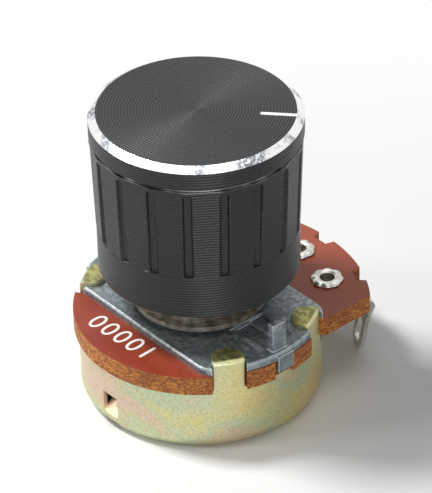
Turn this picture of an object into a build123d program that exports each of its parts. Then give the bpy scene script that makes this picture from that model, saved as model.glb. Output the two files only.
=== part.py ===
from build123d import *
import os
from math import asin, cos, degrees, radians, sin, tan

# Panel potentiometer, 24 mm class, with a push-on aluminium knob.
# Millimetres. +Z runs up the shaft, z = 0 is the flat rear face of the steel cup,
# the terminals leave towards -Y and the locating lug stands on the -X side.

# ---- driving dimensions ---------------------------------------------------
running_gap = 0.04      # radial, between the turning shaft and its bushing
fit_gap = 0.02          # between pieces that are pressed or pushed together
slot_gap = 0.15         # around tabs, nubs and strips that pass through slots

# steel cup
cup_radius = 12.0
cup_height = 7.1
cup_wall = 0.5
cup_corner = 1.3
tab_width = 3.1
tab_reach = 2.3         # how far a folded tab lies over the front plate
tab_angles = (153, 207, 33, -33)
window_width = 19.0     # cut-away in the cup wall that clears the terminal strips
window_depth = 1.4
stop_angle = 92         # the lanced stop in the cup wall, opposite the terminals
stop_width = 2.1
stop_low = 1.5
stop_high = 3.9
stop_lean = 1.5
strap_low = 0.9          # the strap of wall under the window starts here
strap_cut = 1.1          # the corner below the strap is cut away this deep

# phenolic board
board_overhang = 0.5     # how far the board's edge stands out past the cup
board_thickness = 2.0
board_bore = 4.8
ear_reach = 4.25         # how far the terminal ear stands out past the round board
ear_half_width = 10.35
ear_corner = 0.8

# die-cast front plate with bushing, lug and nub
plate_inset = 0.1        # how far the plate's edge stands back from the board's
plate_thickness = 0.8
plate_half_width = 7.7  # the plate is a circle with two parallel sides
plate_corner = 2.2
plate_edge = 0.15
boss_radius = 5.7
boss_height = 0.4
bushing_wall = 0.96      # from the shaft's bore out to the thread's crest
bushing_length = 7.0    # above the plate
bushing_chamfer = 0.4
lug_inset = 1.0          # centre of the locating lug, in from the plate's edge
lug_thickness = 1.0
lug_width = 1.9
lug_height = 2.9
nub_width = 1.9
nub_overhang = 0.35
nub_depth = 1.1
pocket_near = 6.3
pocket_depth = 0.5
pocket_half_width = 1.0
step_depth = 0.25
step_side_y = -2.6      # flat step beside the pocket
slope_side_y = 1.8      # sloped side of the pocket

# terminals and eyelets
terminal_pitch = 25.5   # degrees between neighbouring terminals
eyelet_inset = 3.75      # from the ear's rim in to the eyelets
eyelet_bore = 0.75
eyelet_barrel = 1.1
eyelet_crown = 1.5
eyelet_lip = 0.35
strip_thickness = 0.4
strip_width = 3.0
strip_tail = 1.8         # from the eyelet in to the strip's inner end
bend_overhang = 0.55     # the strips bend down this far outside the ear
bend_inside = 0.35
blade_width_top = 3.9
blade_width = 2.6
blade_taper_end = 2.6   # distance below the board where the taper ends
blade_tip_height = 0.35
blade_lean = 10         # degrees, leaning back under the board
solder_slot_length = 2.9
solder_slot_width = 1.15
board_notch_depth = 0.95
board_notch_mouth = 2.9
board_notch_floor = 1.7

# carbon track and collector ring under the board
film_thickness = 0.06
track_radius = 8.3
track_width = 1.8
track_half_gap = 24     # degrees, half of the opening at the terminals
collector_radius = 6.0
collector_width = 1.2
collector_thickness = 0.3
collector_tongue = 1.6

# shaft
shaft_radius = 3.0
shaft_length = 17.1      # above the front plate
shaft_foot = 1.4         # above the cup's rear face
shaft_flat = 2.3        # half distance across the flats inside the rotor
spline_count = 18
spline_depth = 0.3
spline_length = 9.0
split_width = 0.9
split_length = 8.0
clip_groove_radius = 2.45
clip_thickness = 0.6
clip_radius = 4.35
clip_opening = 2.8
thrust_radius = 4.4
thrust_thickness = 0.3

# rotor and wiper
rotor_radius = 9.3
rotor_drop = 2.2         # from the board's underside down to the rotor disc
rotor_disc_thickness = 1.4
hub_radius = 4.6
hub_foot = 0.55
vane_clearance = 0.9     # between the vane's end and the cup's inner wall
vane_low = 1.2
vane_high = 3.4
travel = 300            # degrees of mechanical travel
pointer_angle = -137.5  # where the pointer stands
stop_play = 0.8         # degrees left between vane and stop at each end
wiper_thickness = 0.25
wiper_width = 2.4
wiper_tip_gap = 0.03

# washer and nut on the bushing
washer_radius = 6.7
washer_thickness = 0.5
thread_gap = 0.05
thread_depth = 0.4       # the engaged threads of nut and bushing meet at the root
nut_across_flats = 11.0
nut_thickness = 2.0
nut_chamfer = 0.5

# knob
knob_lift = 4.3          # from the front plate up to the knob's lower rim
knob_height = 17.25
skirt_radius = 9.85
skirt_height = 4.65
grip_low_radius = 9.97
grip_high_radius = 10.3
band_radius = 10.3
band_height = 1.75      # plain band between the flutes and the bright chamfer
chamfer_height = 0.55
chamfer_width = 0.72
undercut_height = 0.35
undercut_depth = 0.35
flute_count = 18
flute_width = 0.85
flute_depth = 0.55
flute_phase = 14.5
bottom_chamfer = 0.25
knob_top_thickness = 1.5
insert_radius = 8.2
insert_lift = 0.5       # the insert ends this far above the knob's lower rim
recess_radius = 7.1
recess_depth = 3.9
hub_wall_radius = 4.9
rib_count = 6
rib_width = 1.2
insert_top_web = 2.2
pointer_width = 0.42
pointer_start = 6.1
pointer_depth = 0.25

# ---- derived heights ------------------------------------------------------
board_low = cup_height
board_top = board_low + board_thickness
plate_top = board_top + plate_thickness
boss_top = plate_top + boss_height
bushing_top = plate_top + bushing_length
washer_top = boss_top + washer_thickness
nut_top = washer_top + nut_thickness
knob_bottom = plate_top + knob_lift
knob_top = knob_bottom + knob_height
cup_inner = cup_radius - cup_wall
board_radius = cup_radius + board_overhang
ear_radius = board_radius + ear_reach
plate_radius = board_radius - plate_inset
lug_offset = plate_radius - lug_inset
nub_reach = plate_radius + nub_overhang
eyelet_ring = ear_radius - eyelet_inset
strip_inner_end = eyelet_ring - strip_tail
bend_radius_from_axis = ear_radius + bend_overhang
shaft_top = plate_top + shaft_length
rotor_disc_low = board_low - rotor_drop
vane_reach = cup_inner - vane_clearance
terminal_angles = (-90 - terminal_pitch, -90, -90 + terminal_pitch)
shaft_bore = shaft_radius + running_gap
bushing_radius = shaft_bore + bushing_wall
thread_root_radius = bushing_radius - thread_depth

os.makedirs("parts", exist_ok=True)


def turned(angle, height=0):
    """A horizontal plane at a height, with its x axis along the given azimuth."""
    heading = (cos(radians(angle)), sin(radians(angle)), 0)
    return Plane(origin=(0, 0, height), x_dir=heading, z_dir=(0, 0, 1))


def upright(angle):
    """A vertical plane through the shaft axis: x is the radius, y is the height."""
    heading = (cos(radians(angle)), sin(radians(angle)), 0)
    across = (sin(radians(angle)), -cos(radians(angle)), 0)
    return Plane(origin=(0, 0, 0), x_dir=heading, z_dir=across)


def facing(angle, distance=0):
    """A vertical plane that faces outwards at a distance from the axis: y is the height."""
    heading = (cos(radians(angle)), sin(radians(angle)), 0)
    across = (-sin(radians(angle)), cos(radians(angle)), 0)
    return Plane(origin=(0, 0, 0), x_dir=across, z_dir=heading).offset(distance)


# ---- steel cup ------------------------------------------------------------
# The crown is the ring that the four tabs are cut from, already folded inwards.
tab_end_radius = cup_radius - tab_reach
with BuildPart() as tab_crown:
    with BuildSketch(Plane.XZ) as crown_profile:
        with Locations((cup_inner, cup_height - 1)):
            Rectangle(cup_wall, plate_top + cup_wall - cup_height + 1, align=(Align.MIN, Align.MIN))
        with Locations((tab_end_radius - 1, plate_top)):
            Rectangle(tab_reach + 1, cup_wall, align=(Align.MIN, Align.MIN))
        fillet(crown_profile.vertices().group_by(Axis.Y)[-1].sort_by(Axis.X)[-1], cup_wall * 0.9)
    revolve(axis=Axis.Z)
    with BuildSketch(Plane.XY.offset(cup_height - 1)):
        with Locations([Location((0, 0, 0), (0, 0, angle)) for angle in tab_angles]):
            with Locations((tab_end_radius + 4, 0)):
                SlotOverall(8, tab_width)
    extrude(amount=plate_top + cup_wall - cup_height + 1, mode=Mode.INTERSECT)

with BuildPart() as rear_cup:
    with BuildSketch(Plane.XY):
        Circle(cup_radius)
    extrude(amount=cup_height)
    fillet(rear_cup.faces().sort_by(Axis.Z)[0].edges(), cup_corner)
    offset(amount=-cup_wall, openings=rear_cup.faces().sort_by(Axis.Z)[-1])
    # the wall is cut away where the terminal strips pass
    with BuildSketch(Plane.XY.offset(cup_height - window_depth)):
        with Locations((0, -cup_radius)):
            Rectangle(window_width, 12)
    extrude(amount=window_depth, mode=Mode.SUBTRACT)
    # the corner of the cup is cut through under the lanced stop
    with BuildSketch(upright(stop_angle)):
        with Locations((cup_radius, 0)):
            Rectangle(2 * strap_cut, 2 * strap_low)
    extrude(amount=stop_width / 2, both=True, mode=Mode.SUBTRACT)
    # lanced stop: a window, and the tongue that leans in from its lower edge
    with BuildSketch(upright(stop_angle)):
        with Locations((cup_radius, (stop_low + stop_high) / 2)):
            Rectangle(4 * cup_wall, stop_high - stop_low)
    extrude(amount=stop_width / 2, both=True, mode=Mode.SUBTRACT)
    with BuildSketch(upright(stop_angle)):
        with BuildLine():
            Polyline(
                (cup_inner, stop_low - 0.3),
                (cup_radius - 0.1, stop_low - 0.3),
                (cup_radius - 0.1, stop_low + 0.1),
                (cup_inner + cup_wall - stop_lean, stop_high - 1.0),
                (cup_inner - stop_lean, stop_high - 1.0),
                (cup_inner, stop_low + 0.1),
                close=True,
            )
        make_face()
    extrude(amount=stop_width / 2, both=True)
    add(tab_crown.part)
rear_cup.part.label = "rear_cup"
export_step(rear_cup.part, "parts/rear_cup.step")

# ---- phenolic board -------------------------------------------------------
tab_slot_width = tab_width + 2 * slot_gap
tab_slot_floor = cup_inner - slot_gap
with BuildPart() as phenolic_board:
    with BuildSketch(Plane.XY.offset(board_low)) as board_outline:
        with BuildSketch(mode=Mode.PRIVATE) as ear:
            Circle(ear_radius)
            Rectangle(2 * ear_half_width, 2 * ear_radius, mode=Mode.INTERSECT)
            with Locations((0, ear_radius)):
                Rectangle(4 * ear_radius, 2 * ear_radius, mode=Mode.SUBTRACT)
            fillet(ear.vertices().filter_by(lambda v: v.Y < -1), ear_corner)
        Circle(board_radius)
        add(ear.sketch)
        with Locations([Location((0, 0, 0), (0, 0, angle)) for angle in tab_angles]):
            with Locations((tab_slot_floor, 0)):
                Rectangle(4, tab_slot_width, align=(Align.MIN, Align.CENTER), mode=Mode.SUBTRACT)
        nub_slot_length = 2 * (plate_radius - cup_inner + slot_gap)
        with Locations((-plate_radius, 0)):
            Rectangle(nub_slot_length, nub_width + 2 * slot_gap, mode=Mode.SUBTRACT)
        # open notches in the ear's edge, one for each terminal
        with BuildSketch(mode=Mode.PRIVATE) as edge_notch:
            with BuildLine():
                Polyline(
                    (ear_radius - board_notch_depth, -board_notch_floor / 2),
                    (ear_radius + 1, -board_notch_mouth / 2),
                    (ear_radius + 1, board_notch_mouth / 2),
                    (ear_radius - board_notch_depth, board_notch_floor / 2),
                    close=True,
                )
            make_face()
        with Locations([Location((0, 0, 0), (0, 0, angle)) for angle in terminal_angles]):
            add(edge_notch.sketch, mode=Mode.SUBTRACT)
        Circle(board_bore, mode=Mode.SUBTRACT)
        with PolarLocations(eyelet_ring, 3, terminal_angles[0], 3 * terminal_pitch):
            Circle(eyelet_barrel, mode=Mode.SUBTRACT)
    extrude(amount=board_thickness)
phenolic_board.part.label = "phenolic_board"
export_step(phenolic_board.part, "parts/phenolic_board.step")

# ---- front plate: one casting with bushing, lug and nub --------------------
lug_inner = lug_offset - lug_thickness / 2
with BuildPart() as front_plate:
    with BuildSketch(Plane.XY.offset(board_top)) as plate_outline:
        Circle(plate_radius)
        Rectangle(3 * plate_radius, 2 * plate_half_width, mode=Mode.INTERSECT)
        fillet(plate_outline.vertices(), plate_corner)
    extrude(amount=plate_thickness)
    chamfer(front_plate.faces().sort_by(Axis.Z)[-1].edges(), plate_edge)
    with BuildSketch(Plane.XY.offset(board_top)):
        with Locations([Location((0, 0, 0), (0, 0, angle)) for angle in tab_angles]):
            with Locations((tab_slot_floor, 0)):
                Rectangle(4, tab_slot_width, align=(Align.MIN, Align.CENTER))
    extrude(amount=plate_thickness, mode=Mode.SUBTRACT)
    # round boss that the washer seats on, and the threaded bushing
    with BuildSketch(Plane.XY.offset(plate_top)):
        Circle(boss_radius)
    extrude(amount=boss_height)
    with BuildSketch(Plane.XY.offset(plate_top)):
        Circle(bushing_radius)
    extrude(amount=bushing_length)
    chamfer(front_plate.faces().sort_by(Axis.Z)[-1].edges(), bushing_chamfer)
    # the engaged thread under the nut, drawn at its root
    with BuildSketch(Plane.XY.offset(washer_top)):
        Circle(bushing_radius + thread_gap)
        Circle(thread_root_radius, mode=Mode.SUBTRACT)
    extrude(amount=nut_thickness, mode=Mode.SUBTRACT)
    # radial pocket between the boss and the lug, with one flat and one sloped step
    with BuildSketch(Plane.YZ.offset(-lug_inner)):
        with BuildLine():
            Polyline(
                (step_side_y, plate_top + 0.1),
                (step_side_y, plate_top - step_depth),
                (-pocket_half_width, plate_top - step_depth),
                (-pocket_half_width, plate_top - pocket_depth),
                (pocket_half_width, plate_top - pocket_depth),
                (pocket_half_width, plate_top - step_depth),
                (slope_side_y, plate_top),
                (slope_side_y, plate_top + 0.1),
                close=True,
            )
        make_face()
    extrude(amount=lug_inner - pocket_near, mode=Mode.SUBTRACT)
    # locating lug, drafted like the casting
    with BuildSketch(Plane.XY.offset(plate_top - pocket_depth / 2)):
        with Locations((-lug_offset, 0)):
            RectangleRounded(lug_thickness, lug_width, lug_thickness * 0.2)
    extrude(amount=lug_height + pocket_depth / 2, taper=2.5)
    # nub on the rim that drops into the board's notch
    with BuildSketch(Plane.XY.offset(plate_top - plate_edge)):
        with Locations((-nub_reach, 0)):
            Rectangle(nub_reach - cup_inner, nub_width, align=(Align.MIN, Align.CENTER))
    extrude(amount=-(plate_thickness - plate_edge + nub_depth))
    with BuildSketch(Plane.XY):
        Circle(shaft_bore)
    extrude(amount=bushing_top, mode=Mode.SUBTRACT)
front_plate.part.label = "front_plate"
export_step(front_plate.part, "parts/front_plate.step")

# ---- carbon track and collector ring --------------------------------------
track_start = -90 + track_half_gap
track_sweep = 360 - 2 * track_half_gap
with BuildPart() as carbon_track:
    with BuildSketch(Plane.XY.offset(board_low - film_thickness)):
        with BuildLine():
            CenterArc((0, 0), track_radius + track_width / 2, track_start, track_sweep)
            CenterArc((0, 0), track_radius - track_width / 2, track_start, track_sweep)
            for end in (track_start, track_start + track_sweep):
                inner = track_radius - track_width / 2
                outer = track_radius + track_width / 2
                unit = (cos(radians(end)), sin(radians(end)))
                Line((inner * unit[0], inner * unit[1]), (outer * unit[0], outer * unit[1]))
        make_face()
        # silvered leads from the ends of the track to the outer terminals
        for angle in (terminal_angles[0], terminal_angles[2]):
            lead = Location((0, 0, 0), (0, 0, angle))
            with Locations(lead):
                with Locations((track_radius, 0)):
                    tongue_length = strip_inner_end - track_radius - slot_gap
                    Rectangle(tongue_length, track_width, align=(Align.MIN, Align.CENTER))
    extrude(amount=film_thickness)
carbon_track.part.label = "carbon_track"
export_step(carbon_track.part, "parts/carbon_track.step")

with BuildPart() as collector_ring:
    with BuildSketch(Plane.XY.offset(board_low - collector_thickness)):
        Circle(collector_radius + collector_width / 2)
        with Locations((0, -collector_radius)):
            Rectangle(collector_tongue, eyelet_ring - collector_radius, align=(Align.CENTER, Align.MAX))
        with Locations((0, -eyelet_ring)):
            Circle(strip_width / 2)
            Circle(eyelet_barrel, mode=Mode.SUBTRACT)
        Circle(collector_radius - collector_width / 2, mode=Mode.SUBTRACT)
    extrude(amount=collector_thickness)
collector_ring.part.label = "collector_ring"
export_step(collector_ring.part, "parts/collector_ring.step")

# ---- terminals and eyelets ------------------------------------------------
# Each terminal is one tinned strip: flat under the board, then bent down into a
# blade with an oval solder hole. The middle one lies under the collector tongue.
terminal_names = ("terminal_left", "terminal_middle", "terminal_right")
eyelet_names = ("eyelet_left", "eyelet_middle", "eyelet_right")
for angle, terminal_name, eyelet_name in zip(terminal_angles, terminal_names, eyelet_names):
    is_middle = terminal_name == "terminal_middle"
    strip_top = board_low - (collector_thickness if is_middle else 0)
    strip_mid = strip_top - strip_thickness / 2
    drop = strip_mid - blade_tip_height
    tip_radius = bend_radius_from_axis - drop * tan(radians(blade_lean))
    with BuildPart() as terminal:
        with BuildSketch(upright(angle)):
            with BuildLine():
                FilletPolyline(
                    (strip_inner_end, strip_mid),
                    (bend_radius_from_axis, strip_mid),
                    (tip_radius, blade_tip_height),
                    radius=bend_inside + strip_thickness / 2,
                )
            trace(line_width=strip_thickness)
        extrude(amount=blade_width_top / 2, both=True)
        # plan outline: round inner end, straight strip, wide shoulder at the bend
        with BuildSketch(turned(angle)) as plan:
            with Locations((strip_inner_end + strip_width / 2, 0)):
                Circle(strip_width / 2)
            with Locations((strip_inner_end + strip_width / 2, 0)):
                Rectangle(10, strip_width, align=(Align.MIN, Align.CENTER))
            with Locations((eyelet_ring + 2.2, 0)):
                Rectangle(10, blade_width_top, align=(Align.MIN, Align.CENTER))
            with Locations((eyelet_ring, 0)):
                Circle(eyelet_barrel, mode=Mode.SUBTRACT)
        extrude(amount=board_low, mode=Mode.INTERSECT)
        # front outline: tapered shoulder, parallel blade, round tip and solder hole
        with BuildSketch(facing(angle)):
            with BuildLine():
                Polyline(
                    (-blade_width_top / 2, board_low + 1),
                    (-blade_width_top / 2, strip_mid - 0.6),
                    (-blade_width / 2, board_low - blade_taper_end),
                    (-blade_width / 2, blade_tip_height + blade_width / 2),
                )
                ThreePointArc(
                    (-blade_width / 2, blade_tip_height + blade_width / 2),
                    (0, blade_tip_height),
                    (blade_width / 2, blade_tip_height + blade_width / 2),
                )
                Polyline(
                    (blade_width / 2, blade_tip_height + blade_width / 2),
                    (blade_width / 2, board_low - blade_taper_end),
                    (blade_width_top / 2, strip_mid - 0.6),
                    (blade_width_top / 2, board_low + 1),
                    (-blade_width_top / 2, board_low + 1),
                )
            make_face()
            with Locations((0, blade_tip_height + 0.75 + solder_slot_length / 2)):
                SlotOverall(solder_slot_length, solder_slot_width, rotation=90, mode=Mode.SUBTRACT)
        extrude(amount=bend_radius_from_axis + 5, mode=Mode.INTERSECT)
    terminal.part.label = terminal_name
    export_step(terminal.part, f"parts/{terminal_name}.step")

    # tubular rivet: flat flange below, spread crown above
    barrel_radius = eyelet_barrel - fit_gap
    centre = (eyelet_ring * cos(radians(angle)), eyelet_ring * sin(radians(angle)))
    rivet_foot = strip_top - strip_thickness
    with BuildPart() as eyelet:
        with BuildSketch(Plane((*centre, rivet_foot - eyelet_lip))):
            Circle(eyelet_crown)
        extrude(amount=eyelet_lip)
        with BuildSketch(Plane((*centre, rivet_foot))):
            Circle(barrel_radius)
        extrude(amount=board_top - rivet_foot)
        with BuildSketch(Plane((*centre, board_top))):
            Circle(eyelet_crown)
        extrude(amount=eyelet_lip)
        fillet(eyelet.faces().sort_by(Axis.Z)[-1].edges(), eyelet_lip * 0.6)
        with BuildSketch(Plane((*centre, rivet_foot - eyelet_lip))):
            Circle(eyelet_bore)
        extrude(amount=board_top - rivet_foot + 3 * eyelet_lip, mode=Mode.SUBTRACT)
    eyelet.part.label = eyelet_name
    export_step(eyelet.part, f"parts/{eyelet_name}.step")

# ---- shaft ----------------------------------------------------------------
thrust_low = board_top - thrust_thickness
clip_top = thrust_low - fit_gap
clip_low = clip_top - clip_thickness
with BuildPart() as shaft:
    with BuildSketch(Plane.XY.offset(shaft_foot)):
        Circle(shaft_radius)
    extrude(amount=shaft_top - shaft_foot)
    chamfer(shaft.faces().sort_by(Axis.Z)[-1].edges(), spline_depth)
    # groove for the retaining clip
    with BuildSketch(Plane.XY.offset(clip_low - fit_gap)):
        Circle(shaft_radius + 1)
        Circle(clip_groove_radius, mode=Mode.SUBTRACT)
    extrude(amount=clip_thickness + 2 * fit_gap, mode=Mode.SUBTRACT)
    # two flats inside the rotor
    with BuildSketch(turned(pointer_angle, shaft_foot)):
        Rectangle(3 * shaft_radius, 3 * shaft_radius)
        Rectangle(3 * shaft_radius, 2 * shaft_flat, mode=Mode.SUBTRACT)
    extrude(amount=rotor_disc_low + rotor_disc_thickness - shaft_foot, mode=Mode.SUBTRACT)
    # splines and the split that lets the end spring into the knob
    with BuildSketch(turned(pointer_angle, shaft_top - spline_length)):
        with PolarLocations(shaft_radius, spline_count, 180 / spline_count):
            Rectangle(2 * spline_depth, 2 * spline_depth, rotation=45)
    extrude(amount=spline_length, mode=Mode.SUBTRACT)
    with BuildSketch(turned(pointer_angle, shaft_top - split_length)):
        Rectangle(3 * shaft_radius, split_width)
    extrude(amount=split_length, mode=Mode.SUBTRACT)
shaft.part.label = "shaft"
export_step(shaft.part, "parts/shaft.step")

with BuildPart() as thrust_washer:
    with BuildSketch(Plane.XY.offset(thrust_low)):
        Circle(thrust_radius)
        Circle(shaft_bore, mode=Mode.SUBTRACT)
    extrude(amount=thrust_thickness - fit_gap)
thrust_washer.part.label = "thrust_washer"
export_step(thrust_washer.part, "parts/thrust_washer.step")

with BuildPart() as retaining_clip:
    with BuildSketch(turned(pointer_angle, clip_low)):
        Circle(clip_radius)
        Circle(clip_groove_radius + fit_gap, mode=Mode.SUBTRACT)
        with Locations((clip_radius, 0)):
            Rectangle(2 * clip_radius, clip_opening, mode=Mode.SUBTRACT)
    extrude(amount=clip_thickness)
retaining_clip.part.label = "retaining_clip"
export_step(retaining_clip.part, "parts/retaining_clip.step")

# ---- rotor: moulded disc, hub and stop vane -------------------------------
# At mid travel the pointer faces away from the terminals and the vane is
# opposite the lanced stop, so the vane's sector takes what travel leaves over.
rotor_disc_top = rotor_disc_low + rotor_disc_thickness
stop_half_angle = degrees(asin(stop_width / 2 / (cup_inner - stop_lean)))
vane_half_angle = (360 - travel) / 2 - stop_half_angle - stop_play
vane_angle = pointer_angle + 180
with BuildPart() as rotor:
    with BuildSketch(Plane.XY.offset(hub_foot)):
        Circle(hub_radius)
    extrude(amount=rotor_disc_low - hub_foot)
    with BuildSketch(Plane.XY.offset(rotor_disc_low)):
        Circle(rotor_radius)
    extrude(amount=rotor_disc_thickness)
    with BuildSketch(turned(vane_angle, vane_low)):
        with BuildLine():
            CenterArc((0, 0), vane_reach, -vane_half_angle, 2 * vane_half_angle)
            reach_x = vane_reach * cos(radians(vane_half_angle))
            reach_y = vane_reach * sin(radians(vane_half_angle))
            Line((0, 0), (reach_x, reach_y))
            Line((0, 0), (reach_x, -reach_y))
        make_face()
    extrude(amount=vane_high - vane_low)
    with BuildSketch(turned(pointer_angle, shaft_foot)):
        Circle(shaft_radius + fit_gap)
        Rectangle(3 * shaft_radius, 2 * (shaft_flat + fit_gap), mode=Mode.INTERSECT)
    extrude(amount=rotor_disc_top - shaft_foot, mode=Mode.SUBTRACT)
rotor.part.label = "rotor"
export_step(rotor.part, "parts/rotor.step")

# ---- wiper: spring strip from collector ring to carbon track ---------------
tip_top = board_low - film_thickness - wiper_tip_gap
collector_tip_top = board_low - collector_thickness - wiper_tip_gap
with BuildPart() as wiper:
    with BuildSketch(upright(pointer_angle)):
        with BuildLine():
            Polyline(
                (shaft_radius + 0.6, rotor_disc_top),
                (track_radius + 0.3, rotor_disc_top),
                (track_radius + 0.3, tip_top),
                (track_radius - 0.1, tip_top),
                (track_radius - 0.9, rotor_disc_top + wiper_thickness),
                (collector_radius + 0.5, rotor_disc_top + wiper_thickness),
                (collector_radius + 0.2, collector_tip_top),
                (collector_radius - 0.2, collector_tip_top),
                (collector_radius - 0.5, rotor_disc_top + wiper_thickness),
                (shaft_radius + 0.6, rotor_disc_top + wiper_thickness),
                close=True,
            )
        make_face()
    extrude(amount=wiper_width / 2, both=True)
wiper.part.label = "wiper"
export_step(wiper.part, "parts/wiper.step")

# ---- washer and nut -------------------------------------------------------
with BuildPart() as flat_washer:
    with BuildSketch(Plane.XY.offset(boss_top)):
        Circle(washer_radius)
        Circle(bushing_radius + slot_gap, mode=Mode.SUBTRACT)
    extrude(amount=washer_thickness)
flat_washer.part.label = "flat_washer"
export_step(flat_washer.part, "parts/flat_washer.step")

with BuildPart() as hex_nut:
    with BuildSketch(turned(10, washer_top)):
        RegularPolygon(nut_across_flats / 2, 6, major_radius=False)
    extrude(amount=nut_thickness)
    with BuildSketch(Plane.XZ):
        corner = nut_across_flats / 2 / cos(radians(30))
        with BuildLine():
            Polyline(
                (0, washer_top),
                (corner, washer_top),
                (corner, nut_top - nut_chamfer),
                (nut_across_flats / 2 - 0.1, nut_top),
                (0, nut_top),
                close=True,
            )
        make_face()
    revolve(axis=Axis.Z, mode=Mode.INTERSECT)
    with BuildSketch(Plane.XY.offset(washer_top)):
        Circle(thread_root_radius + thread_gap)
    extrude(amount=nut_thickness, mode=Mode.SUBTRACT)
hex_nut.part.label = "hex_nut"
export_step(hex_nut.part, "parts/hex_nut.step")

# ---- knob shell: turned and fluted aluminium ------------------------------
skirt_top = knob_bottom + skirt_height
chamfer_low = knob_top - chamfer_height
band_low = chamfer_low - band_height
grip_top = band_low - undercut_height
shell_ceiling = knob_top - knob_top_thickness
with BuildPart() as knob_shell:
    # the grip is an eighteen-sided taper whose corners fall in the flutes
    with BuildSketch(turned(flute_phase, skirt_top - 0.01)):
        RegularPolygon(grip_low_radius, flute_count)
    with BuildSketch(turned(flute_phase, grip_top)):
        RegularPolygon(grip_high_radius, flute_count)
    loft()
    with BuildSketch(Plane.XZ):
        with BuildLine():
            Polyline(
                (0, knob_bottom),
                (skirt_radius - bottom_chamfer, knob_bottom),
                (skirt_radius, knob_bottom + bottom_chamfer),
                (skirt_radius, skirt_top),
                (grip_low_radius - 1, skirt_top),
                (grip_high_radius - 1, grip_top),
                (band_radius - undercut_depth, grip_top),
                (band_radius - undercut_depth, band_low),
                (band_radius, band_low),
                (band_radius, chamfer_low),
                (band_radius - chamfer_width, knob_top),
                (0, knob_top),
                close=True,
            )
        make_face()
    revolve(axis=Axis.Z)
    # upright flutes with round upper ends, open onto the skirt's ledge
    for index in range(flute_count):
        angle = flute_phase + index * 360 / flute_count
        with BuildSketch(facing(angle, grip_low_radius - flute_depth)):
            with Locations((0, skirt_top)):
                Rectangle(flute_width, grip_top - skirt_top - flute_width, align=(Align.CENTER, Align.MIN))
            with Locations((0, grip_top - flute_width)):
                Circle(flute_width / 2)
        extrude(amount=3, mode=Mode.SUBTRACT)
    # bore for the insert
    with BuildSketch(Plane.XY.offset(knob_bottom)):
        Circle(insert_radius + fit_gap)
    extrude(amount=shell_ceiling - knob_bottom, mode=Mode.SUBTRACT)
    # pointer line milled across the top and the chamfer
    with BuildSketch(turned(pointer_angle, knob_top)):
        with Locations((pointer_start + 5, 0)):
            SlotOverall(10, pointer_width)
    extrude(amount=-pointer_depth, mode=Mode.SUBTRACT)
knob_shell.part.label = "knob_shell"
export_step(knob_shell.part, "parts/knob_shell.step")

# ---- knob insert: moulded core that grips the shaft ------------------------
insert_low = knob_bottom + insert_lift
insert_high = shell_ceiling - fit_gap
recess_top = knob_bottom + recess_depth
rib_top = insert_high - insert_top_web
with BuildPart() as knob_insert:
    with BuildSketch(Plane.XY.offset(insert_low)):
        Circle(insert_radius)
        Circle(recess_radius, mode=Mode.SUBTRACT)
    extrude(amount=insert_high - insert_low)
    with BuildSketch(Plane.XY.offset(recess_top)):
        Circle(hub_wall_radius)
    extrude(amount=rib_top - recess_top)
    with BuildSketch(Plane.XY.offset(recess_top)):
        with PolarLocations(0, rib_count // 2, 30, 180):
            Rectangle(2 * recess_radius + 0.4, rib_width)
    extrude(amount=rib_top - recess_top)
    with BuildSketch(Plane.XY.offset(rib_top)):
        Circle(recess_radius + 0.2)
    extrude(amount=insert_top_web)
    with BuildSketch(turned(pointer_angle, recess_top)):
        Circle(shaft_radius + fit_gap)
    extrude(amount=shaft_top + fit_gap - recess_top, mode=Mode.SUBTRACT)
    # splines that mesh with the shaft's
    spline_tip = 2 * (spline_depth - 2 * fit_gap)
    with BuildSketch(turned(pointer_angle, shaft_top - spline_length + fit_gap)) as splines:
        with BuildSketch(mode=Mode.PRIVATE) as teeth:
            with PolarLocations(shaft_radius + 2 * fit_gap, spline_count, 180 / spline_count):
                Rectangle(spline_tip, spline_tip, rotation=45)
        add(teeth.sketch)
        Circle(shaft_radius + 2 * fit_gap, mode=Mode.INTERSECT)
    extrude(amount=spline_length - 2 * spline_depth)
knob_insert.part.label = "knob_insert"
export_step(knob_insert.part, "parts/knob_insert.step")
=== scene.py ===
import bpy
from math import cos, pi, radians, sin, sqrt
from mathutils import Matrix, Vector


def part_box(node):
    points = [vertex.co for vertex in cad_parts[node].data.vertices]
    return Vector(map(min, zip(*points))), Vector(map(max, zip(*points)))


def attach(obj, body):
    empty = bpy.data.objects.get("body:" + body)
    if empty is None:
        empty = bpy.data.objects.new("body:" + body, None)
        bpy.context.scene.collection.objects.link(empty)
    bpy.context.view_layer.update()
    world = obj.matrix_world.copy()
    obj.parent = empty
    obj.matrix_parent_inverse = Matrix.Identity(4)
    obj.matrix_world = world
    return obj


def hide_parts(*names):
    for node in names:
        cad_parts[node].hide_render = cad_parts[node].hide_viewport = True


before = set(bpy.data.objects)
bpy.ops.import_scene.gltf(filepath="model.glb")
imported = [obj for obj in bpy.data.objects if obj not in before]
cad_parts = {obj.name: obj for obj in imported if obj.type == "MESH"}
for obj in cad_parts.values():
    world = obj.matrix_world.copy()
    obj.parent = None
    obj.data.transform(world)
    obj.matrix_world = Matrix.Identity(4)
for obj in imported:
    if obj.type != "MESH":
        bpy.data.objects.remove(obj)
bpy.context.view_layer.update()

MM = 0.001
UP = Vector((0, 0, 1))


# ---- places, read from the CAD parts (millimetres) --------------------------
def box_mm(node):
    low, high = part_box(node)
    return low / MM, high / MM


shell_low, shell_high = box_mm("knob_shell")
board_low, board_high = box_mm("phenolic_board")
cup_low, cup_high = box_mm("rear_cup")
plate_low, plate_high = box_mm("front_plate")

KNOB_BOTTOM = shell_low.z
KNOB_TOP = shell_high.z
BAND_RADIUS = (shell_high.x - shell_low.x) / 2
BOARD_TOP = board_high.z
POINTER_ANGLE = -137.5      # degrees, as the knob stands at rest
FLUTE_PHASE = 14.5
FLUTES = 18
CAMERA_AZIMUTH = 230


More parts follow.
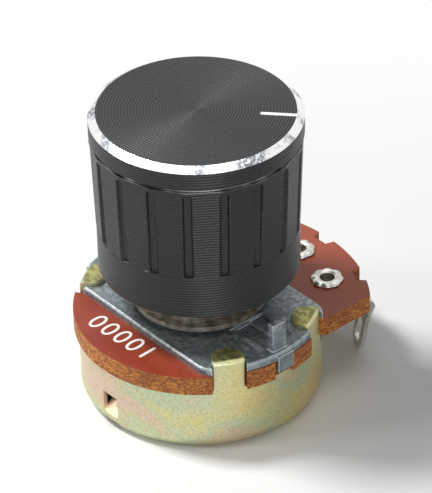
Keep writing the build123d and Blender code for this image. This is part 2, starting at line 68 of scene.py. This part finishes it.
# ---- a small kit for writing shader graphs ----------------------------------
class Graph:
    """One node material. Every method returns an output socket."""

    def __init__(self, name):
        self.material = bpy.data.materials.new(name)
        self.material.use_nodes = True
        self.tree = self.material.node_tree
        self.shader = self.tree.nodes["Principled BSDF"]
        self.place = self.node("ShaderNodeTexCoord").outputs["Object"]
        self.mm = self.vector("SCALE", self.place, scale=1 / MM)
        self.xyz = self.node("ShaderNodeSeparateXYZ", Vector=self.mm).outputs
        self.x, self.y, self.z = self.xyz[0], self.xyz[1], self.xyz[2]

    def node(self, kind, settings=None, **inputs):
        made = self.tree.nodes.new(kind)
        for key, value in (settings or {}).items():
            setattr(made, key, value)
        for key, value in inputs.items():
            self.put(made.inputs[key.replace("_", " ")], value)
        return made

    def put(self, socket, value):
        if isinstance(value, bpy.types.NodeSocket):
            self.tree.links.new(value, socket)
        elif isinstance(value, tuple) and len(value) == 3 and socket.type == "RGBA":
            socket.default_value = (*value, 1)
        else:
            socket.default_value = value

    def math(self, operation, a, b=0.0, c=0.0, clamp=False):
        made = self.node("ShaderNodeMath", {"operation": operation, "use_clamp": clamp})
        for socket, value in zip(made.inputs, (a, b, c)):
            self.put(socket, value)
        return made.outputs[0]

    def vector(self, operation, a, b=None, scale=None):
        made = self.node("ShaderNodeVectorMath", {"operation": operation})
        self.put(made.inputs[0], a)
        if b is not None:
            self.put(made.inputs[1], b)
        if scale is not None:
            self.put(made.inputs["Scale"], scale)
        return made.outputs["Value" if operation in ("LENGTH", "DISTANCE") else "Vector"]

    def noise(self, size, detail=3.0, roughness=0.55, place=None, distortion=0.0):
        """Noise whose features are about size millimetres across."""
        made = self.node("ShaderNodeTexNoise", Vector=place or self.mm, Scale=1 / size, Detail=detail,
                         Roughness=roughness, Distortion=distortion)
        return made.outputs["Fac"]

    def cells(self, size, place=None):
        made = self.node("ShaderNodeTexVoronoi", Vector=place or self.mm, Scale=1 / size)
        return made.outputs["Distance"]

    def ramp(self, value, *stops):
        made = self.node("ShaderNodeValToRGB", Fac=value)
        points = made.color_ramp.elements
        while len(points) < len(stops):
            points.new(0.5)
        for point, (position, colour) in zip(points, stops):
            point.position = position
            point.color = (*colour, 1)
        return made.outputs["Color"]

    def between(self, value, low, high):
        """0 below low, 1 above high, smooth between."""
        made = self.node("ShaderNodeMapRange", {"interpolation_type": "SMOOTHSTEP"}, Value=value)
        self.put(made.inputs["From Min"], low)
        self.put(made.inputs["From Max"], high)
        return made.outputs["Result"]

    def scaled(self, value, low, high):
        made = self.node("ShaderNodeMapRange", Value=value)
        self.put(made.inputs["To Min"], low)
        self.put(made.inputs["To Max"], high)
        return made.outputs["Result"]

    def mix(self, factor, a, b, blend="MIX"):
        made = self.node("ShaderNodeMix", {"data_type": "RGBA", "blend_type": blend})
        self.put(made.inputs["Factor"], factor)
        self.put(made.inputs[6], a)
        self.put(made.inputs[7], b)
        return made.outputs[2]

    def blend(self, factor, a, b):
        """A number between a and b."""
        made = self.node("ShaderNodeMix", {"data_type": "FLOAT"})
        self.put(made.inputs["Factor"], factor)
        self.put(made.inputs[2], a)
        self.put(made.inputs[3], b)
        return made.outputs[0]

    def radius(self):
        flat = self.vector("MULTIPLY", self.mm, (1, 1, 0))
        return self.vector("LENGTH", flat)

    def facing_up(self):
        """The surface normal's height, from -1 to 1."""
        normal = self.node("ShaderNodeNewGeometry").outputs["Normal"]
        return self.node("ShaderNodeSeparateXYZ", Vector=normal).outputs[2]

    def bump(self, height, depth, normal=None):
        """Height 0 to 1 raised by depth millimetres."""
        made = self.node("ShaderNodeBump", Height=height, Distance=depth * MM)
        if normal is not None:
            self.put(made.inputs["Normal"], normal)
        return made.outputs["Normal"]

    def edge(self, radius):
        """A normal that rounds sharp edges by that many millimetres."""
        return self.node("ShaderNodeBevel", {"samples": 6}, Radius=radius * MM).outputs["Normal"]

    def surface(self, **inputs):
        for key, value in inputs.items():
            self.put(self.shader.inputs[key.replace("_", " ")], value)
        return self.material


def paint(node, material):
    """Gives a CAD node its finished material."""
    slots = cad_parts[node].material_slots
    for slot in slots:
        slot.material = material


# ---- materials --------------------------------------------------------------
def anodised_aluminium():
    """Black anodised and turned, with a mirror-cut chamfer and a bright pointer line."""
    g = Graph("black_anodised_turned")
    pitch = 0.3
    radius = g.radius()
    up = g.facing_up()
    on_top = g.between(up, 0.85, 0.95)
    # turned grooves run round the sides and in rings on the top
    along = g.blend(on_top, g.z, radius)
    wander = g.math("MULTIPLY", g.noise(6.0, 1.0), 0.05)
    phase = g.math("MULTIPLY", g.math("ADD", along, wander), 2 * pi / pitch)
    groove = g.math("MULTIPLY_ADD", g.math("SINE", phase), 0.5, 0.5)
    fine = g.noise(0.06, 2.0)
    # the mirror chamfer is the cone between the top face and the band
    is_cone = g.math("MULTIPLY", g.between(up, 0.25, 0.4), g.math("SUBTRACT", 1.0, g.between(up, 0.9, 0.96)))
    high = g.between(g.z, KNOB_TOP - 0.62, KNOB_TOP - 0.56)
    chamfer = g.math("MULTIPLY", is_cone, high)
    # pointer line, in coordinates turned to lie along it
    turn = g.node("ShaderNodeVectorRotate", {"rotation_type": "Z_AXIS"}, Vector=g.mm, Angle=radians(-POINTER_ANGLE))
    lined = g.node("ShaderNodeSeparateXYZ", Vector=turn.outputs[0]).outputs
    ragged = g.math("MULTIPLY", g.math("SUBTRACT", g.noise(0.5, 2.0), 0.5), 0.06)
    across = g.math("ADD", g.math("ABSOLUTE", lined[1]), ragged)
    near = g.math("SUBTRACT", 1.0, g.between(across, 0.20, 0.25))
    out = g.between(lined[0], 6.05, 6.25)
    above = g.between(g.z, KNOB_TOP - 0.6, KNOB_TOP - 0.5)
    pointer = g.math("MULTIPLY", g.math("MULTIPLY", near, out), above)
    bright = g.math("MAXIMUM", chamfer, pointer)
    # burrs and rubbed spots where the flutes run out onto the skirt's ledge
    ledge = g.math("SUBTRACT", 1.0, g.between(g.math("ABSOLUTE", g.math("SUBTRACT", g.z, KNOB_BOTTOM + 4.7)), 0.03, 0.16))
    wear_and_edge_highlight = g.math("MULTIPLY", ledge, g.between(g.noise(0.8, 3.0), 0.55, 0.68))
    # painted shade: the bottoms of the turned grooves are painted darker than their crests
    dark = g.mix(groove, (0.004, 0.0045, 0.005), (0.036, 0.040, 0.042))
    dark = g.mix(g.math("MULTIPLY", g.noise(2.5, 4.0), 0.5), dark, (0.014, 0.015, 0.018))
    dark = g.mix(wear_and_edge_highlight, dark, (0.20, 0.16, 0.12))
    patches = g.between(g.noise(3.4, 2.0), 0.47, 0.60)
    stain = g.math("MULTIPLY", patches, g.between(g.noise(0.30, 3.0), 0.36, 0.56))
    mirror = g.mix(g.math("MULTIPLY", stain, 0.9), (0.90, 0.90, 0.89), (0.13, 0.15, 0.19))
    # painted highlight: a broken pale line along the top edge of the grip panels, under the band, stands in for the
    # white reflection in the undercut
    painted_highlight_band = g.math("ABSOLUTE", g.math("SUBTRACT", g.z, KNOB_TOP - 2.64))
    painted_highlight_band = g.math("SUBTRACT", 1.0, g.between(painted_highlight_band, 0.05, 0.11))
    painted_highlight_lip = g.math("MULTIPLY", painted_highlight_band, g.between(g.noise(5.0, 2.0), 0.40, 0.55))
    dark = g.mix(g.math("MULTIPLY", painted_highlight_lip, 0.75), dark, (0.55, 0.56, 0.57))
    colour = g.mix(bright, dark, mirror)
    colour = g.mix(pointer, colour, (0.90, 0.90, 0.89))
    rough = g.blend(bright, g.scaled(fine, 0.34, 0.46), g.scaled(stain, 0.16, 0.30))
    depth = g.math("SUBTRACT", 1.0, bright)
    flute_turns = g.math("MULTIPLY", g.math("SUBTRACT", g.math("ARCTAN2", g.y, g.x), radians(FLUTE_PHASE)), FLUTES / (2 * pi))
    off_flute = g.math("ABSOLUTE", g.math("SUBTRACT", flute_turns, g.math("ROUND", flute_turns)))
    on_side = g.math("MULTIPLY", g.between(g.z, KNOB_BOTTOM + 4.6, KNOB_BOTTOM + 4.8), g.math("SUBTRACT", 1.0, on_top))
    below_band = g.math("SUBTRACT", 1.0, g.between(g.z, KNOB_TOP - 2.75, KNOB_TOP - 2.60))
    in_flute = g.math("MULTIPLY", g.math("SUBTRACT", 1.0, g.between(off_flute, 0.10, 0.13)), g.math("MULTIPLY", on_side, below_band))
    depth = g.math("MULTIPLY", depth, g.math("SUBTRACT", 1.0, g.math("MULTIPLY", in_flute, 0.8)))
    height = g.math("ADD", g.math("MULTIPLY", groove, depth), g.math("MULTIPLY", fine, 0.06))
    normal = g.bump(height, 0.045, g.edge(0.06))
    return g.surface(Base_Color=colour, Metallic=g.blend(pointer, g.blend(bright, 0.35, 1.0), 0.1), Roughness=rough, Normal=normal)


def chromated_steel():
    """Yellow chromate on zinc-plated steel, with patches of mint and pink and fine dark specks."""
    g = Graph("yellow_chromate_steel")
    stretched = g.vector("MULTIPLY", g.mm, (1, 1, 1.5))
    hue = g.noise(8.5, 1.5, 0.45, stretched, 0.5)
    colour = g.ramp(
        hue,
        (0.30, (0.70, 0.55, 0.26)),
        (0.40, (0.69, 0.62, 0.27)),
        (0.48, (0.63, 0.63, 0.36)),
        (0.53, (0.54, 0.62, 0.42)),
        (0.58, (0.66, 0.60, 0.36)),
        (0.66, (0.71, 0.54, 0.42)),
    )
    pale = g.noise(2.2, 3.0)
    colour = g.mix(g.math("MULTIPLY", g.between(pale, 0.45, 0.7), 0.35), colour, (0.62, 0.60, 0.42))
    specks = g.math("SUBTRACT", 1.0, g.between(g.cells(0.42), 0.08, 0.20))
    specks = g.math("MULTIPLY", specks, g.between(g.noise(1.7, 2.0), 0.40, 0.58))
    colour = g.mix(g.math("MULTIPLY", specks, 0.7), colour, (0.20, 0.16, 0.10))
    grain = g.noise(0.22, 3.0)
    colour = g.mix(g.math("MULTIPLY", g.between(grain, 0.4, 0.75), 0.5), colour, (0.34, 0.31, 0.20))
    # painted shade: the face-up tops of the folded tabs are painted a dark mottled olive; their bends are only rounded
    # by the bevelled normal
    painted_shade_tabs = g.math("MULTIPLY", g.between(g.z, plate_high.z - 7.3, plate_high.z - 7.1), g.between(g.facing_up(), 0.75, 0.95))
    painted_shade_olive = g.mix(g.between(g.noise(0.7, 3.0), 0.40, 0.62), (0.16, 0.15, 0.045), (0.42, 0.40, 0.13))
    colour = g.mix(g.math("MULTIPLY", painted_shade_tabs, 0.85), colour, painted_shade_olive)
    rough = g.scaled(g.noise(1.2, 3.0), 0.30, 0.52)
    normal = g.bump(g.math("ADD", grain, g.math("MULTIPLY", specks, -1.5)), 0.022, g.edge(0.22))
    return g.surface(Base_Color=colour, Metallic=0.8, Roughness=rough, Normal=normal)


def phenolic():
    """Red-brown paper phenolic: a smooth face and a broken, mottled sheared edge."""
    g = Graph("red_phenolic")
    up = g.math("ABSOLUTE", g.facing_up())
    is_edge = g.math("SUBTRACT", 1.0, g.between(up, 0.4, 0.7))
    cloud = g.noise(4.0, 3.0)
    face = g.mix(g.between(cloud, 0.35, 0.65), (0.24, 0.026, 0.006), (0.30, 0.042, 0.013))
    # painted light: the ear is painted paler, as if lit, than the shaded half under the print
    painted_light_ear = g.math("SUBTRACT", 1.0, g.between(g.y, -10.0, 2.0))
    face = g.mix(g.math("MULTIPLY", painted_light_ear, 0.75), face, (0.36, 0.078, 0.034))
    dust = g.between(g.cells(1.3), 0.0, 0.07)
    face = g.mix(g.math("MULTIPLY", g.math("SUBTRACT", 1.0, dust), 0.5), face, (0.70, 0.42, 0.30))
    layers = g.vector("MULTIPLY", g.mm, (1, 1, 2.6))
    torn = g.noise(0.42, 4.0, 0.7, layers)
    edge = g.ramp(torn, (0.34, (0.10, 0.018, 0.005)), (0.45, (0.32, 0.080, 0.012)), (0.54, (0.52, 0.18, 0.022)),
                  (0.66, (0.74, 0.36, 0.08)))
    edge = g.mix(g.between(g.noise(2.2, 2.0), 0.45, 0.6), edge, g.mix(0.35, edge, (0.20, 0.035, 0.012)))
    colour = g.mix(is_edge, face, edge)
    fibres = g.noise(0.35, 3.0, 0.6, g.vector("MULTIPLY", g.mm, (0.35, 1.6, 1)))
    height = g.blend(is_edge, g.math("MULTIPLY", fibres, 0.12), torn)
    rough = g.blend(is_edge, g.scaled(cloud, 0.38, 0.50), 0.62)
    return g.surface(Base_Color=colour, Roughness=rough, Normal=g.bump(height, 0.10, g.edge(0.06)))


def zinc_casting():
    """Satin blue-grey zinc casting with mould mottling and painted highlights on its edges."""
    g = Graph("zinc_die_casting")
    mottle = g.noise(0.55, 4.0, 0.65)
    broad = g.noise(3.5, 2.0)
    colour = g.mix(g.between(mottle, 0.35, 0.68), (0.15, 0.175, 0.185), (0.42, 0.455, 0.47))
    colour = g.mix(g.math("MULTIPLY", g.between(broad, 0.42, 0.62), 0.5), colour, (0.20, 0.245, 0.275))
    pits = g.math("SUBTRACT", 1.0, g.between(g.cells(1.1), 0.04, 0.11))
    colour = g.mix(g.math("MULTIPLY", pits, 0.7), colour, (0.07, 0.075, 0.08))
    rounded = g.edge(0.14)
    flat = g.node("ShaderNodeNewGeometry").outputs["Normal"]
    turned_away = g.node("ShaderNodeVectorMath", {"operation": "DISTANCE"})
    g.put(turned_away.inputs[0], rounded)
    g.put(turned_away.inputs[1], flat)
    # painted highlight: where the bevelled normal turns away from the flat one, the edges are painted pale metal
    wear_and_edge_highlight = g.between(turned_away.outputs["Value"], 0.12, 0.45)
    colour = g.mix(g.math("MULTIPLY", wear_and_edge_highlight, 0.7), colour, (0.72, 0.75, 0.77))
    # cast thread on the bushing
    on_thread = g.math("MULTIPLY", g.math("SUBTRACT", 1.0, g.between(g.radius(), 4.05, 4.1)),
                       g.between(g.z, plate_high.z - 6.9, plate_high.z - 6.8))
    angle = g.math("ARCTAN2", g.y, g.x)
    helix = g.math("SUBTRACT", g.math("MULTIPLY", g.z, 2 * pi / 0.75), angle)
    thread = g.math("MULTIPLY", g.math("MULTIPLY_ADD", g.math("SINE", helix), 0.5, 0.5), on_thread)
    height = g.math("ADD", g.math("MULTIPLY", mottle, 0.16), thread)
    height = g.math("SUBTRACT", height, g.math("MULTIPLY", pits, 0.3))
    normal = g.bump(height, 0.16, rounded)
    return g.surface(Base_Color=colour, Metallic=0.75, Roughness=g.scaled(mottle, 0.36, 0.58), Normal=normal)


def tinned(name, colour, dull, rough_low, rough_high, streak=(1, 1, 1)):
    """Tin, nickel or silver plating with soft smears."""
    g = Graph(name)
    smear = g.noise(0.9, 3.0, 0.6, g.vector("MULTIPLY", g.mm, streak))
    tone = g.mix(g.between(smear, 0.35, 0.68), dull, colour)
    rough = g.scaled(g.noise(0.5, 3.0), rough_low, rough_high)
    normal = g.bump(g.noise(0.25, 3.0), 0.015, g.edge(0.07))
    return g.surface(Base_Color=tone, Metallic=0.9, Roughness=rough, Normal=normal)


def moulded(name, colour, rough):
    """Plain moulded plastic, film or fibre."""
    g = Graph(name)
    tone = g.mix(g.noise(1.5, 3.0), colour, tuple(part * 1.5 for part in colour))
    normal = g.bump(g.noise(0.12, 2.0), 0.01, g.edge(0.05))
    return g.surface(Base_Color=tone, Roughness=g.scaled(g.noise(0.8), rough, rough + 0.15), Normal=normal)


def print_white():
    g = Graph("print_white")
    worn = g.between(g.noise(0.18, 3.0), 0.30, 0.42)
    colour = g.mix(worn, (0.72, 0.55, 0.48), (0.90, 0.88, 0.85))
    return g.surface(Base_Color=colour, Roughness=0.55)


# ---- the knob's shell, turned at full detail --------------------------------
SEGMENTS_PER_FLUTE = 32


def flute_cut(off_centre, height, top_end, half_width, depth):
    """How deep a flute is cut at this distance from its centre line."""
    rise = max(0.0, height - top_end)
    away = sqrt(off_centre * off_centre + rise * rise) / half_width
    return depth * sqrt(max(0.0, 1 - away ** 2))


def knob_rows():
    """Heights and radii up the outside: (z, radius, share of panel and flute shaping)."""
    skirt = 9.85
    skirt_top = KNOB_BOTTOM + 4.65
    chamfer_low = KNOB_TOP - 0.55
    band_low = chamfer_low - 1.75
    grip_top = band_low - 0.35
    low, high = 9.97, BAND_RADIUS
    rows = [(KNOB_BOTTOM, skirt - 0.25, 0), (KNOB_BOTTOM + 0.08, skirt - 0.10, 0), (KNOB_BOTTOM + 0.25, skirt, 0)]
    rows += [(KNOB_BOTTOM + 0.25 + 4.32 * step / 6, skirt, 0) for step in range(1, 7)]
    rows += [(skirt_top, skirt - 0.06, 0)]
    steps = 26
    fine = 12
    flute_end = grip_top - 0.85
    for step in range(steps + 1):
        z = skirt_top + (flute_end - skirt_top) * step / steps
        rows.append((z, low + (high - low) * (z - skirt_top) / (grip_top - skirt_top), 1))
    for step in range(1, fine + 1):
        z = flute_end + (grip_top - flute_end) * step / fine
        rows.append((z, low + (high - low) * (z - skirt_top) / (grip_top - skirt_top), 1))
    rows += [(grip_top, high - 0.35, 0), (grip_top + 0.12, high - 0.42, 0), (band_low - 0.02, high - 0.35, 0)]
    rows += [(band_low, high - 0.06, 0), (band_low + 0.06, high, 0)]
    rows += [(band_low + 0.06 + 1.66 * step / 4, high, 0) for step in range(1, 5)]
    rows += [(chamfer_low + 0.02, high - 0.01, 0), (KNOB_TOP - 0.02, high - 0.70, 0), (KNOB_TOP, high - 0.74, 0)]
    return rows, flute_end


def turned_shell():
    """The shell as one closed lathe mesh whose flutes and flat panels shape each ring."""
    rows, flute_end = knob_rows()
    count = FLUTES * SEGMENTS_PER_FLUTE
    corner_share = cos(pi / FLUTES)
    vertices = []
    for z, radius, shaping in rows:
        for index in range(count):
            turn = (index % SEGMENTS_PER_FLUTE) / SEGMENTS_PER_FLUTE
            from_flute = min(turn, 1 - turn) * 2 * pi / FLUTES
            here = radius
            if shaping:
                here = radius * corner_share / cos(pi / FLUTES - from_flute)
                here -= flute_cut(from_flute * radius, z, flute_end, 0.45, 0.42)
            angle = radians(FLUTE_PHASE) + 2 * pi * index / count
            vertices.append((here * cos(angle) * MM, here * sin(angle) * MM, z * MM))
    rings = [(radius, KNOB_TOP) for radius in (9.0, 6.0, 3.0, 0.6)]
    inner = [(9.4, KNOB_BOTTOM), (8.3, KNOB_BOTTOM), (8.22, KNOB_BOTTOM + 0.08), (8.22, KNOB_TOP - 1.5)]
    for radius, z in rings + inner:
        for index in range(count):
            angle = radians(FLUTE_PHASE) + 2 * pi * index / count
            vertices.append((radius * cos(angle) * MM, radius * sin(angle) * MM, z * MM))
    faces = []

    def bridge(lower, upper):
        for index in range(count):
            after = (index + 1) % count
            faces.append((lower * count + index, lower * count + after, upper * count + after, upper * count + index))

    outer = len(rows)
    for row in range(outer + len(rings) - 1):
        bridge(row, row + 1)
    faces.append(tuple(range((outer + 3) * count, (outer + 4) * count)))
    first_inner = outer + len(rings)
    bridge(first_inner, 0)
    for row in range(first_inner, first_inner + 3):
        bridge(row + 1, row)
    faces.append(tuple(reversed(range((first_inner + 3) * count, (first_inner + 4) * count))))
    mesh = bpy.data.meshes.new("knob_shell_turned")
    mesh.from_pydata(vertices, [], faces)
    mesh.update()
    mesh.shade_smooth()
    mesh.set_sharp_from_angle(angle=radians(24))
    shell = bpy.data.objects.new("knob_shell_turned", mesh)
    bpy.context.scene.collection.objects.link(shell)
    mesh.materials.append(anodised_aluminium())
    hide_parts("knob_shell")
    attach(shell, "knob")


# ---- rivet crowns: the spread, petalled heads of the eyelets -----------------
def rivet_crown(name, node, seed):
    """The rolled head of an eyelet, split into eight uneven petals."""
    low, high = box_mm(node)
    centre = (low + high) / 2
    around = 96
    top = high.z
    # the section of the roll: radius, height, and how far the petals move that point
    section = [(0.74, top - 0.40, 0), (0.78, top - 0.06, 0), (0.95, top + 0.10, 0.2), (1.16, top + 0.14, 0.5),
               (1.36, top + 0.08, 0.8), (1.55, top - 0.06, 1), (1.62, top - 0.20, 1), (1.56, BOARD_TOP + 0.02, 1)]
    vertices = []
    for radius, z, share in section:
        for index in range(around):
            angle = 2 * pi * index / around
            petal = abs(cos(4 * angle + seed + 0.25 * sin(2 * angle + seed))) ** 0.6
            uneven = 0.35 * sin(3 * angle + 2.3 * seed) + 0.25 * sin(5 * angle + seed)
            reach = radius + share * (0.17 * (petal - 0.8) + 0.05 * uneven)
            lift = z + share * 0.10 * (petal - 0.75)
            lift = max(lift, BOARD_TOP + 0.02)
            vertices.append(((centre.x + reach * cos(angle)) * MM, (centre.y + reach * sin(angle)) * MM, lift * MM))
    faces = []
    rings = len(section)
    for ring in range(rings):
        following = (ring + 1) % rings
        for index in range(around):
            after = (index + 1) % around
            faces.append((ring * around + index, following * around + index, following * around + after,
                          ring * around + after))
    mesh = bpy.data.meshes.new(name)
    mesh.from_pydata(vertices, [], [tuple(reversed(face)) for face in faces])
    mesh.update()
    mesh.shade_smooth()
    crown = bpy.data.objects.new(name, mesh)
    bpy.context.scene.collection.objects.link(crown)
    return crown


# ---- printed value: plain digits in white ------------------------------------
def printed_digits():
    """Five plain digits along the board's straight visible strip, read from the terminal side."""
    curve = bpy.data.curves.new("value_digits", "FONT")
    curve.body = "10000"
    curve.size = 3.05 * MM
    curve.space_character = 1.16
    curve.align_x = "CENTER"
    curve.align_y = "BOTTOM_BASELINE"
    curve.extrude = 0.01 * MM
    digits = bpy.data.objects.new("value_digits", curve)
    bpy.context.scene.collection.objects.link(digits)
    digits.location = Vector((0.6, 8.35, BOARD_TOP + 0.012)) * MM
    digits.rotation_euler = (0, 0, radians(3))
    curve.materials.append(print_white())
    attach(digits, "housing")


# ---- camera, floor and light -------------------------------------------------
def look(position, target, roll=0.0):
    """A matrix that looks from position at target, turned by roll about the line of sight."""
    back = (position - target).normalized()
    right = UP.cross(back).normalized()
    above = back.cross(right)
    turned = Matrix((right, above, back)).transposed().to_4x4()
    return Matrix.Translation(position) @ turned @ Matrix.Rotation(roll, 4, "Z")


def add_camera():
    azimuth, elevation, roll = radians(CAMERA_AZIMUTH), radians(34.97), radians(-1.06)
    distance = 332.5
    away = Vector((sin(azimuth) * cos(elevation), -cos(azimuth) * cos(elevation), sin(elevation)))
    right = UP.cross(away).normalized()
    above = away.cross(right)
    aim = Vector((0, 0, 12.0)) + right * 1.65 + above * 2.99
    data = bpy.data.cameras.new("camera")
    data.sensor_width = 36
    data.sensor_fit = "HORIZONTAL"
    data.lens = 283.6
    data.clip_start = 0.01
    data.clip_end = 10
    camera = bpy.data.objects.new("camera", data)
    camera.matrix_world = look((aim + away * distance) * MM, aim * MM, roll)
    bpy.context.scene.collection.objects.link(camera)
    bpy.context.scene.camera = camera


def add_floor():
    mesh = bpy.data.meshes.new("floor")
    reach = 1.2
    mesh.from_pydata([(-reach, -reach, 0), (reach, -reach, 0), (reach, reach, 0), (-reach, reach, 0)], [], [(0, 1, 2, 3)])
    floor = bpy.data.objects.new("floor", mesh)
    bpy.context.scene.collection.objects.link(floor)
    g = Graph("pale_floor")
    # away from the object the floor fades into the white surroundings
    path = g.node("ShaderNodeLightPath").outputs
    unlit = g.math("MAXIMUM", path["Is Camera Ray"], g.math("MAXIMUM", path["Is Glossy Ray"], path["Is Transmission Ray"]))
    far = g.between(g.radius(), 24.0, 95.0)
    near_colour = g.mix(far, (0.82, 0.82, 0.825), (0.0, 0.0, 0.0))
    g.put(g.shader.inputs["Emission Color"], (1.0, 1.0, 1.0))
    g.put(g.shader.inputs["Emission Strength"], g.math("MULTIPLY", far, unlit))
    mesh.materials.append(g.surface(Base_Color=near_colour, Roughness=0.95))


def studio(right, towards, up):
    """A place given as the camera sees it: to its right, towards it, and up."""
    azimuth = radians(CAMERA_AZIMUTH)
    nearer = Vector((sin(azimuth), -cos(azimuth), 0))
    return UP.cross(nearer) * right + nearer * towards + UP * up


def add_area(name, place, size, power, target=(0, 0, 12)):
    data = bpy.data.lights.new(name, "AREA")
    data.shape = "RECTANGLE"
    data.size, data.size_y = size[0] * MM, size[1] * MM
    data.energy = power
    light = bpy.data.objects.new(name, data)
    light.matrix_world = look(Vector(place) * MM, Vector(target) * MM)
    bpy.context.scene.collection.objects.link(light)


def add_world():
    """White to the camera and in reflections, softer as light."""
    world = bpy.data.worlds.new("studio")
    world.use_nodes = True
    bpy.context.scene.world = world
    nodes, links = world.node_tree.nodes, world.node_tree.links
    background = nodes["Background"]
    background.inputs["Color"].default_value = (1, 1, 1, 1)
    path = nodes.new("ShaderNodeLightPath")
    seen = nodes.new("ShaderNodeMath")
    seen.operation = "MAXIMUM"
    mirrored = nodes.new("ShaderNodeMath")
    mirrored.operation = "MAXIMUM"
    links.new(path.outputs["Is Glossy Ray"], mirrored.inputs[0])
    links.new(path.outputs["Is Transmission Ray"], mirrored.inputs[1])
    links.new(path.outputs["Is Camera Ray"], seen.inputs[0])
    links.new(mirrored.outputs[0], seen.inputs[1])
    strength = nodes.new("ShaderNodeMapRange")
    strength.inputs["To Min"].default_value = 0.12
    strength.inputs["To Max"].default_value = 1.0
    links.new(seen.outputs[0], strength.inputs["Value"])
    links.new(strength.outputs["Result"], background.inputs["Strength"])


# ---- put it together ---------------------------------------------------------
turned_shell()
paint("rear_cup", chromated_steel())
paint("phenolic_board", phenolic())
paint("front_plate", zinc_casting())
tin = tinned("tin_plate", (0.80, 0.79, 0.74), (0.46, 0.45, 0.41), 0.22, 0.40, (1, 1, 0.4))
for part in ("terminal_left", "terminal_middle", "terminal_right", "eyelet_left", "eyelet_middle", "eyelet_right"):
    paint(part, tin)
nickel = tinned("dull_nickel", (0.42, 0.39, 0.34), (0.20, 0.18, 0.15), 0.30, 0.50)
paint("flat_washer", nickel)
paint("hex_nut", nickel)
paint("collector_ring", tinned("silvered_brass", (0.78, 0.77, 0.72), (0.55, 0.50, 0.38), 0.20, 0.35))
paint("wiper", tinned("phosphor_bronze", (0.80, 0.58, 0.30), (0.55, 0.38, 0.18), 0.20, 0.35))
paint("shaft", tinned("turned_aluminium", (0.74, 0.74, 0.75), (0.55, 0.55, 0.56), 0.25, 0.40, (0.2, 0.2, 6)))
paint("retaining_clip", tinned("spring_steel", (0.34, 0.34, 0.35), (0.18, 0.18, 0.18), 0.25, 0.40))
paint("thrust_washer", moulded("red_fibre", (0.28, 0.10, 0.05), 0.60))
paint("rotor", moulded("moulded_rotor", (0.035, 0.030, 0.026), 0.45))
paint("carbon_track", moulded("carbon_film", (0.016, 0.016, 0.017), 0.55))
paint("knob_insert", moulded("moulded_core", (0.020, 0.020, 0.021), 0.40))
for number, side in enumerate(("left", "middle", "right")):
    crown = rivet_crown(f"crown_{side}", f"eyelet_{side}", number * 1.7)
    crown.data.materials.append(tin)
    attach(crown, "housing")
printed_digits()

bpy.context.scene.view_settings.view_transform = "Standard"
add_camera()
add_floor()
add_world()
add_area("key", studio(-200, -70, 350), (80, 80), 1.45)
add_area("overhead", studio(20, 20, 430), (260, 260), 0.35)
add_area("left", studio(-330, 60, 200), (90, 180), 0.30)
add_area("low_front", studio(60, 420, 90), (160, 80), 0.40)
